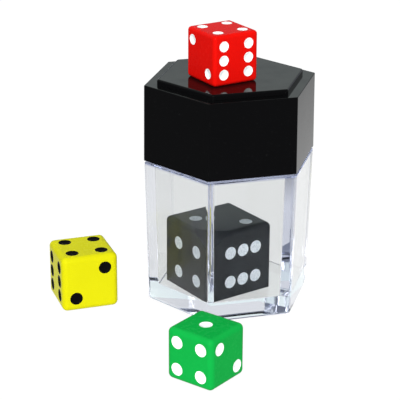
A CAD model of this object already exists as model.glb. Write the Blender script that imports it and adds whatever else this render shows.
import math

import bpy
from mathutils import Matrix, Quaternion, Vector


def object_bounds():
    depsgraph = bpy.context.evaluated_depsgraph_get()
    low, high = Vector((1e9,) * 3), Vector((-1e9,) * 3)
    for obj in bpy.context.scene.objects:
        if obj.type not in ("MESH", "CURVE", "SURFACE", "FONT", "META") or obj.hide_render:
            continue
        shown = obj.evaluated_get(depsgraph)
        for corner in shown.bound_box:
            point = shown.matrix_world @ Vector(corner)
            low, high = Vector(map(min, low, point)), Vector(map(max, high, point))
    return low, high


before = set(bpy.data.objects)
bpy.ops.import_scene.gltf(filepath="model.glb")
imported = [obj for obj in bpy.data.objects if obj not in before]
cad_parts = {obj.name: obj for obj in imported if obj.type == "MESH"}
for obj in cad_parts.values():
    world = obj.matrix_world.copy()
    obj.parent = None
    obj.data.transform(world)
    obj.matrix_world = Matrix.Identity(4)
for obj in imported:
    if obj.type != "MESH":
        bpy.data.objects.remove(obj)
cad_low, cad_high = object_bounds()

# Viewing angle of the camera, and where it looks, in degrees and metres; lens and sensor in millimetres.
CAMERA_AZIMUTH = -15.59
CAMERA_ELEVATION = 20.77
CAMERA_ROLL = 0.25
CAMERA_DISTANCE = 0.5117
CAMERA_LENS = 140.55
SENSOR_WIDTH = 36.0
NEAREST = 0.01
FARTHEST = 20.0
LOOK_RIGHT = -0.00959
LOOK_HEIGHT = 0.0320

# Refractive indices of the dark and coloured surfaces. They are below the real materials' values, most of all
# for the cap, the dice and the black paint, so that the bright floor and surroundings don't veil them.
CAP_INDEX = 1.16
SHELL_INDEX = 1.36
DICE_INDEX = 1.07
WHITE_PAINT_INDEX = 1.40
BLACK_PAINT_INDEX = 1.04

# Clear plastic: what its body absorbs, the colour of its walls and of the ledge under the cap, and the
# heights in metres over which the ledge's colour comes in and goes out.
POLYSTYRENE_INDEX = 1.57
BODY_TINT = (0.30, 0.36, 0.60, 1)
BODY_DENSITY = 6.5          # absorption per metre
WALL_TINT = (0.868, 0.876, 0.872)
LEDGE_TINT = (0.38, 0.42, 0.62)
LEDGE_START = (0.0468, 0.0474)
LEDGE_END = (0.0486, 0.0492)

FLOOR_HALF = 3.0
FLOOR_GAP = 0.0002          # air under the container, so that its underside mirrors the light inside it
FLOOR_GLOW = 0.97

# Where the floor's light fades, beyond what the camera sees: the turn of the line across the floor from +X
# in degrees, the light at its two ends, and the two ends in metres.
LEFT_FADE = (8.8, 0.25, 1.0, -0.15, -0.082)
RIGHT_FADE = (23.4, 1.0, 0.5, 0.062, 0.12)

# Surroundings: colours in front of the case and behind it, and low down beside it and behind it. The ranges
# are parts of a unit direction: FRONT_TO_BACK along +Y, LOW_TO_HIGH along +Z, and BESIDE_TO_BEHIND along the
# main view, level.
FRONT_LIGHT = (0.30, 0.32, 0.35)
BACK_LIGHT = (1.20, 1.32, 1.27)
SIDE_HORIZON = (0.60, 0.64, 0.74)
BACK_HORIZON = (0.04, 0.06, 0.15)
FRONT_TO_BACK = (-0.35, 0.25)
LOW_TO_HIGH = (0.19, 0.28, 0.50)
MIDDLE_GREY = (0.72, 0.72, 0.72, 1)
BESIDE_TO_BEHIND = (0.82, 0.93)

# Bounces of light: enough to get out of the thick clear walls.
ALL_BOUNCES = 48
SURFACE_BOUNCES = 40

# Soft boxes: name, azimuth and elevation in degrees, distance and edge in metres, power in watts.
LIGHTS = [
    ("key", CAMERA_AZIMUTH - 3, 26, 1.1, 0.9, 23.0),
    ("top", 20, 80, 1.2, 1.0, 1.0),
]


def direction(azimuth, elevation):
    """Unit vector from the object towards a viewer or a light at these angles."""
    a = math.radians(azimuth)
    e = math.radians(elevation)
    return Vector((math.sin(a) * math.cos(e), -math.cos(a) * math.cos(e), math.sin(e)))


# ---- node helpers ----

def new_material(name):
    """An empty node material and its Principled shader."""
    material = bpy.data.materials.new(name)
    material.use_nodes = True
    shader = material.node_tree.nodes["Principled BSDF"]
    return material, material.node_tree, shader


def node(tree, kind, **inputs):
    """A node with some of its inputs set; underscores stand for spaces in an input's name."""
    made = tree.nodes.new(kind)
    for key, value in inputs.items():
        made.inputs[key.replace("_", " ")].default_value = value
    return made


def object_coordinates(tree, stretch=(1, 1, 1)):
    coordinates = tree.nodes.new("ShaderNodeTexCoord")
    mapping = node(tree, "ShaderNodeMapping", Scale=stretch)
    tree.links.new(coordinates.outputs["Object"], mapping.inputs["Vector"])
    return mapping.outputs["Vector"]


def noise(tree, scale, detail=3.0, roughness=0.5, stretch=(1, 1, 1)):
    """Noise over the object's own coordinates, in metres; returns its factor socket."""
    made = node(tree, "ShaderNodeTexNoise", Scale=scale, Detail=detail, Roughness=roughness)
    tree.links.new(object_coordinates(tree, stretch), made.inputs["Vector"])
    return made.outputs["Fac"]


def span(tree, factor, low, high, start=0.0, end=1.0):
    """Maps a factor between start and end onto low and high."""
    made = tree.nodes.new("ShaderNodeMapRange")
    made.inputs["From Min"].default_value = start
    made.inputs["From Max"].default_value = end
    made.inputs["To Min"].default_value = low
    made.inputs["To Max"].default_value = high
    tree.links.new(factor, made.inputs["Value"])
    return made.outputs["Result"]


def multiply(tree, first, second):
    made = tree.nodes.new("ShaderNodeMath")
    made.operation = "MULTIPLY"
    tree.links.new(first, made.inputs[0])
    tree.links.new(second, made.inputs[1])
    return made.outputs["Value"]


def blend_colors(tree, factor, first, second):
    made = tree.nodes.new("ShaderNodeMix")
    made.data_type = "RGBA"
    made.inputs["A"].default_value = (*first, 1)
    made.inputs["B"].default_value = (*second, 1)
    tree.links.new(factor, made.inputs["Factor"])
    return made.outputs["Result"]


def bump(tree, height, strength, distance):
    made = node(tree, "ShaderNodeBump", Strength=strength, Distance=distance)
    tree.links.new(height, made.inputs["Height"])
    return made.outputs["Normal"]


# ---- materials ----

def clear_plastic():
    """Clear moulded polystyrene: slight waviness up the walls, faint handling marks, a bluish ledge."""
    material, tree, shader = new_material("clear_case")
    place = tree.nodes.new("ShaderNodeSeparateXYZ")
    tree.links.new(object_coordinates(tree), place.inputs["Vector"])
    below = span(tree, place.outputs["Z"], 0.0, 1.0, *LEDGE_START)
    above = span(tree, place.outputs["Z"], 1.0, 0.0, *LEDGE_END)
    ledge = multiply(tree, below, above)
    tree.links.new(blend_colors(tree, ledge, WALL_TINT, LEDGE_TINT), shader.inputs["Base Color"])
    shader.inputs["Transmission Weight"].default_value = 1.0
    shader.inputs["IOR"].default_value = POLYSTYRENE_INDEX
    shader.inputs["Specular Tint"].default_value = (0.0, 0.0, 0.0, 1)
    body = tree.nodes.new("ShaderNodeVolumeAbsorption")
    body.inputs["Color"].default_value = BODY_TINT
    body.inputs["Density"].default_value = BODY_DENSITY
    tree.links.new(body.outputs["Volume"], tree.nodes["Material Output"].inputs["Volume"])
    marks = noise(tree, 900.0, 4.0, 0.6)
    tree.links.new(span(tree, marks, 0.0, 0.05, 0.45, 0.85), shader.inputs["Roughness"])
    flow = noise(tree, 60.0, 2.0, 0.5, (1, 1, 0.12))
    tree.links.new(bump(tree, flow, 0.03, 0.0004), shader.inputs["Normal"])
    return material


def black_gloss():
    """Glossy black polystyrene with faint smears and dust."""
    material, tree, shader = new_material("black_cap")
    shader.inputs["IOR"].default_value = CAP_INDEX
    shader.inputs["Specular Tint"].default_value = (0.2, 0.2, 0.2, 1)
    dust = noise(tree, 2600.0, 2.0, 0.6)
    dusty = span(tree, dust, 0.0, 1.0, 0.70, 0.80)
    tree.links.new(
        blend_colors(tree, dusty, (0.0022, 0.0022, 0.0024), (0.03, 0.03, 0.03)),
        shader.inputs["Base Color"],
    )
    smears = noise(tree, 180.0, 5.0, 0.6, (1, 1, 2.5))
    tree.links.new(span(tree, smears, 0.03, 0.16, 0.35, 0.8), shader.inputs["Roughness"])
    sink = noise(tree, 45.0, 1.0)
    tree.links.new(bump(tree, sink, 0.12, 0.0005), shader.inputs["Normal"])
    return material


def soft_rubber():
    material, tree, shader = new_material("soft_ring")
    grain = noise(tree, 3000.0, 2.0)
    tree.links.new(
        blend_colors(tree, grain, (0.012, 0.012, 0.012), (0.03, 0.03, 0.03)), shader.inputs["Base Color"]
    )
    shader.inputs["Roughness"].default_value = 0.7
    tree.links.new(bump(tree, grain, 0.3, 0.0001), shader.inputs["Normal"])
    return material


def grey_shell():
    """Satin dark grey plastic, mottled by the mould's flow."""
    material, tree, shader = new_material("grey_shell")
    mottle = noise(tree, 420.0, 5.0, 0.65)
    patches = span(tree, mottle, 0.0, 1.0, 0.3, 0.75)
    tree.links.new(
        blend_colors(tree, patches, (0.015, 0.018, 0.022), (0.035, 0.040, 0.046)), shader.inputs["Base Color"]
    )
    shader.inputs["IOR"].default_value = SHELL_INDEX
    tree.links.new(span(tree, mottle, 0.26, 0.40), shader.inputs["Roughness"])
    grain = noise(tree, 2400.0, 3.0)
    tree.links.new(bump(tree, grain, 0.25, 0.00012), shader.inputs["Normal"])
    return material


def grey_pips():
    """Pale grey-blue inlay with fine darker specks."""
    material, tree, shader = new_material("grey_pips")
    specks = noise(tree, 2100.0, 3.0, 0.6)
    tree.links.new(
        blend_colors(tree, span(tree, specks, 0.0, 1.0, 0.45, 0.62), (0.88, 0.93, 0.98), (0.62, 0.68, 0.74)),
        shader.inputs["Base Color"],
    )
    shader.inputs["Roughness"].default_value = 0.5
    tree.links.new(bump(tree, specks, 0.2, 0.0001), shader.inputs["Normal"])
    return material


def dice_plastic(name, light, deep):
    """Glossy acrylic with cloudy colour inside and fine surface wear."""
    material, tree, shader = new_material(name)
    cloud = noise(tree, 160.0, 3.0, 0.5)
    tree.links.new(blend_colors(tree, cloud, deep, light), shader.inputs["Base Color"])
    wear = noise(tree, 700.0, 4.0, 0.6)
    tree.links.new(span(tree, wear, 0.16, 0.36, 0.3, 0.75), shader.inputs["Roughness"])
    shader.inputs["IOR"].default_value = DICE_INDEX
    ripple = noise(tree, 260.0, 2.0)
    tree.links.new(bump(tree, ripple, 0.12, 0.0002), shader.inputs["Normal"])
    return material


def pip_paint(name, light, deep, roughness, ior):
    """Brushed enamel that lines the dished pips."""
    material, tree, shader = new_material(name)
    shader.inputs["IOR"].default_value = ior
    strokes = noise(tree, 1500.0, 3.0, 0.6, (1, 1, 1.8))
    tree.links.new(blend_colors(tree, strokes, deep, light), shader.inputs["Base Color"])
    tree.links.new(span(tree, strokes, roughness * 0.8, roughness * 1.4), shader.inputs["Roughness"])
    tree.links.new(bump(tree, strokes, 0.25, 0.0001), shader.inputs["Normal"])
    return material


def dress(name, material):
    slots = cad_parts[name].data.materials
    slots.clear()
    slots.append(material)


white_paint = pip_paint("white_paint", (0.72, 0.74, 0.73), (0.66, 0.68, 0.67), 0.35, WHITE_PAINT_INDEX)
dress("container", clear_plastic())
dress("cap", black_gloss())
dress("grip_ring", soft_rubber())
dress("large_die_shell", grey_shell())
dress("large_die_pips", grey_pips())
dress("red_die", dice_plastic("red_plastic", (0.52, 0.004, 0.002), (0.46, 0.003, 0.002)))
dress("red_die_pips", white_paint)
dress("yellow_die", dice_plastic("yellow_plastic", (0.46, 0.44, 0.003), (0.42, 0.40, 0.003)))
black_paint = pip_paint("black_paint", (0.004, 0.004, 0.004), (0.001, 0.001, 0.001), 0.12, BLACK_PAINT_INDEX)
dress("yellow_die_pips", black_paint)
dress("green_die", dice_plastic("green_plastic", (0.004, 0.27, 0.040), (0.003, 0.235, 0.034)))
dress("green_die_pips", white_paint)


# ---- stage ----

def across_floor(tree, turn, low, high, start, end):
    """Light on the floor that changes from low to high along a line across it."""
    place = tree.nodes.new("ShaderNodeTexCoord")
    turned = node(tree, "ShaderNodeMapping", Rotation=(0, 0, math.radians(turn)))
    tree.links.new(place.outputs["Object"], turned.inputs["Vector"])
    sides = tree.nodes.new("ShaderNodeSeparateXYZ")
    tree.links.new(turned.outputs["Vector"], sides.inputs["Vector"])
    return span(tree, sides.outputs["X"], low, high, start, end)


def make_floor():
    """White paper, lit from below so that it shows no shadows, and fading out at the sides."""
    mesh = bpy.data.meshes.new("floor")
    corners = [(-1, -1), (1, -1), (1, 1), (-1, 1)]
    mesh.from_pydata([(x * FLOOR_HALF, y * FLOOR_HALF, 0) for x, y in corners], [], [(0, 1, 2, 3)])
    floor = bpy.data.objects.new("floor", mesh)
    bpy.context.collection.objects.link(floor)
    floor.location.z = cad_low[2] - FLOOR_GAP
    material, tree, shader = new_material("floor_paper")
    tone = noise(tree, 6.0, 2.0)
    paper = blend_colors(tree, tone, (0.030, 0.030, 0.030), (0.034, 0.034, 0.034))
    tree.links.new(paper, shader.inputs["Base Color"])
    both = multiply(tree, across_floor(tree, *LEFT_FADE), across_floor(tree, *RIGHT_FADE))
    glow = blend_colors(tree, both, (0, 0, 0), (1, 1, 1))
    tree.links.new(glow, shader.inputs["Emission Color"])
    shader.inputs["Emission Strength"].default_value = FLOOR_GLOW
    shader.inputs["Roughness"].default_value = 0.9
    shader.inputs["Specular IOR Level"].default_value = 0.1
    mesh.materials.append(material)


def make_light(name, azimuth, elevation, distance, size, power):
    """A square soft box that points at the middle of the case."""
    data = bpy.data.lights.new(name, "AREA")
    data.shape = "SQUARE"
    data.size = size
    data.energy = power
    light = bpy.data.objects.new(name, data)
    bpy.context.collection.objects.link(light)
    target = Vector((0, 0, LOOK_HEIGHT))
    light.location = target + direction(azimuth, elevation) * distance
    light.rotation_euler = (target - light.location).to_track_quat("-Z", "Y").to_euler()


def make_world():
    """Soft surroundings: bright behind and above the case, dim in front, and dark low down behind it."""
    world = bpy.data.worlds.new("studio")
    bpy.context.scene.world = world
    world.use_nodes = True
    tree = world.node_tree
    background = tree.nodes["Background"]
    coordinates = tree.nodes.new("ShaderNodeTexCoord")
    split = tree.nodes.new("ShaderNodeSeparateXYZ")
    tree.links.new(coordinates.outputs["Generated"], split.inputs["Vector"])
    depth = span(tree, split.outputs["Y"], 0.0, 1.0, *FRONT_TO_BACK)
    height = tree.nodes.new("ShaderNodeValToRGB")
    low, middle, high = LOW_TO_HIGH
    height.color_ramp.elements[0].position = low
    height.color_ramp.elements[1].position = high
    height.color_ramp.elements.new(middle).color = MIDDLE_GREY
    tree.links.new(split.outputs["Z"], height.inputs["Fac"])
    turned = node(tree, "ShaderNodeMapping", Rotation=(0, 0, math.radians(-CAMERA_AZIMUTH)))
    tree.links.new(coordinates.outputs["Generated"], turned.inputs["Vector"])
    behind = tree.nodes.new("ShaderNodeSeparateXYZ")
    tree.links.new(turned.outputs["Vector"], behind.inputs["Vector"])
    dark = span(tree, behind.outputs["Y"], 0.0, 1.0, *BESIDE_TO_BEHIND)
    lit = tree.nodes.new("ShaderNodeMix")
    lit.data_type = "RGBA"
    tree.links.new(blend_colors(tree, dark, SIDE_HORIZON, BACK_HORIZON), lit.inputs["A"])
    tree.links.new(blend_colors(tree, depth, FRONT_LIGHT, BACK_LIGHT), lit.inputs["B"])
    tree.links.new(height.outputs["Color"], lit.inputs["Factor"])
    tree.links.new(lit.outputs["Result"], background.inputs["Color"])


def make_camera():
    data = bpy.data.cameras.new("camera")
    data.lens = CAMERA_LENS
    data.sensor_width = SENSOR_WIDTH
    data.clip_start = NEAREST
    data.clip_end = FARTHEST
    camera = bpy.data.objects.new("camera", data)
    bpy.context.collection.objects.link(camera)
    a = math.radians(CAMERA_AZIMUTH)
    right = Vector((math.cos(a), math.sin(a), 0))
    target = right * LOOK_RIGHT + Vector((0, 0, LOOK_HEIGHT))
    back = direction(CAMERA_AZIMUTH, CAMERA_ELEVATION)
    camera.location = target + back * CAMERA_DISTANCE
    roll = Quaternion((0, 0, 1), math.radians(CAMERA_ROLL))
    camera.rotation_euler = ((-back).to_track_quat("-Z", "Y") @ roll).to_euler()
    bpy.context.scene.camera = camera


make_floor()
for light_name, *settings in LIGHTS:
    make_light(light_name, *settings)
make_world()
make_camera()

scene = bpy.context.scene
scene.cycles.max_bounces = ALL_BOUNCES
scene.cycles.glossy_bounces = SURFACE_BOUNCES
scene.cycles.transmission_bounces = SURFACE_BOUNCES
scene.view_settings.view_transform = "Standard"
scene.view_settings.look = "None"
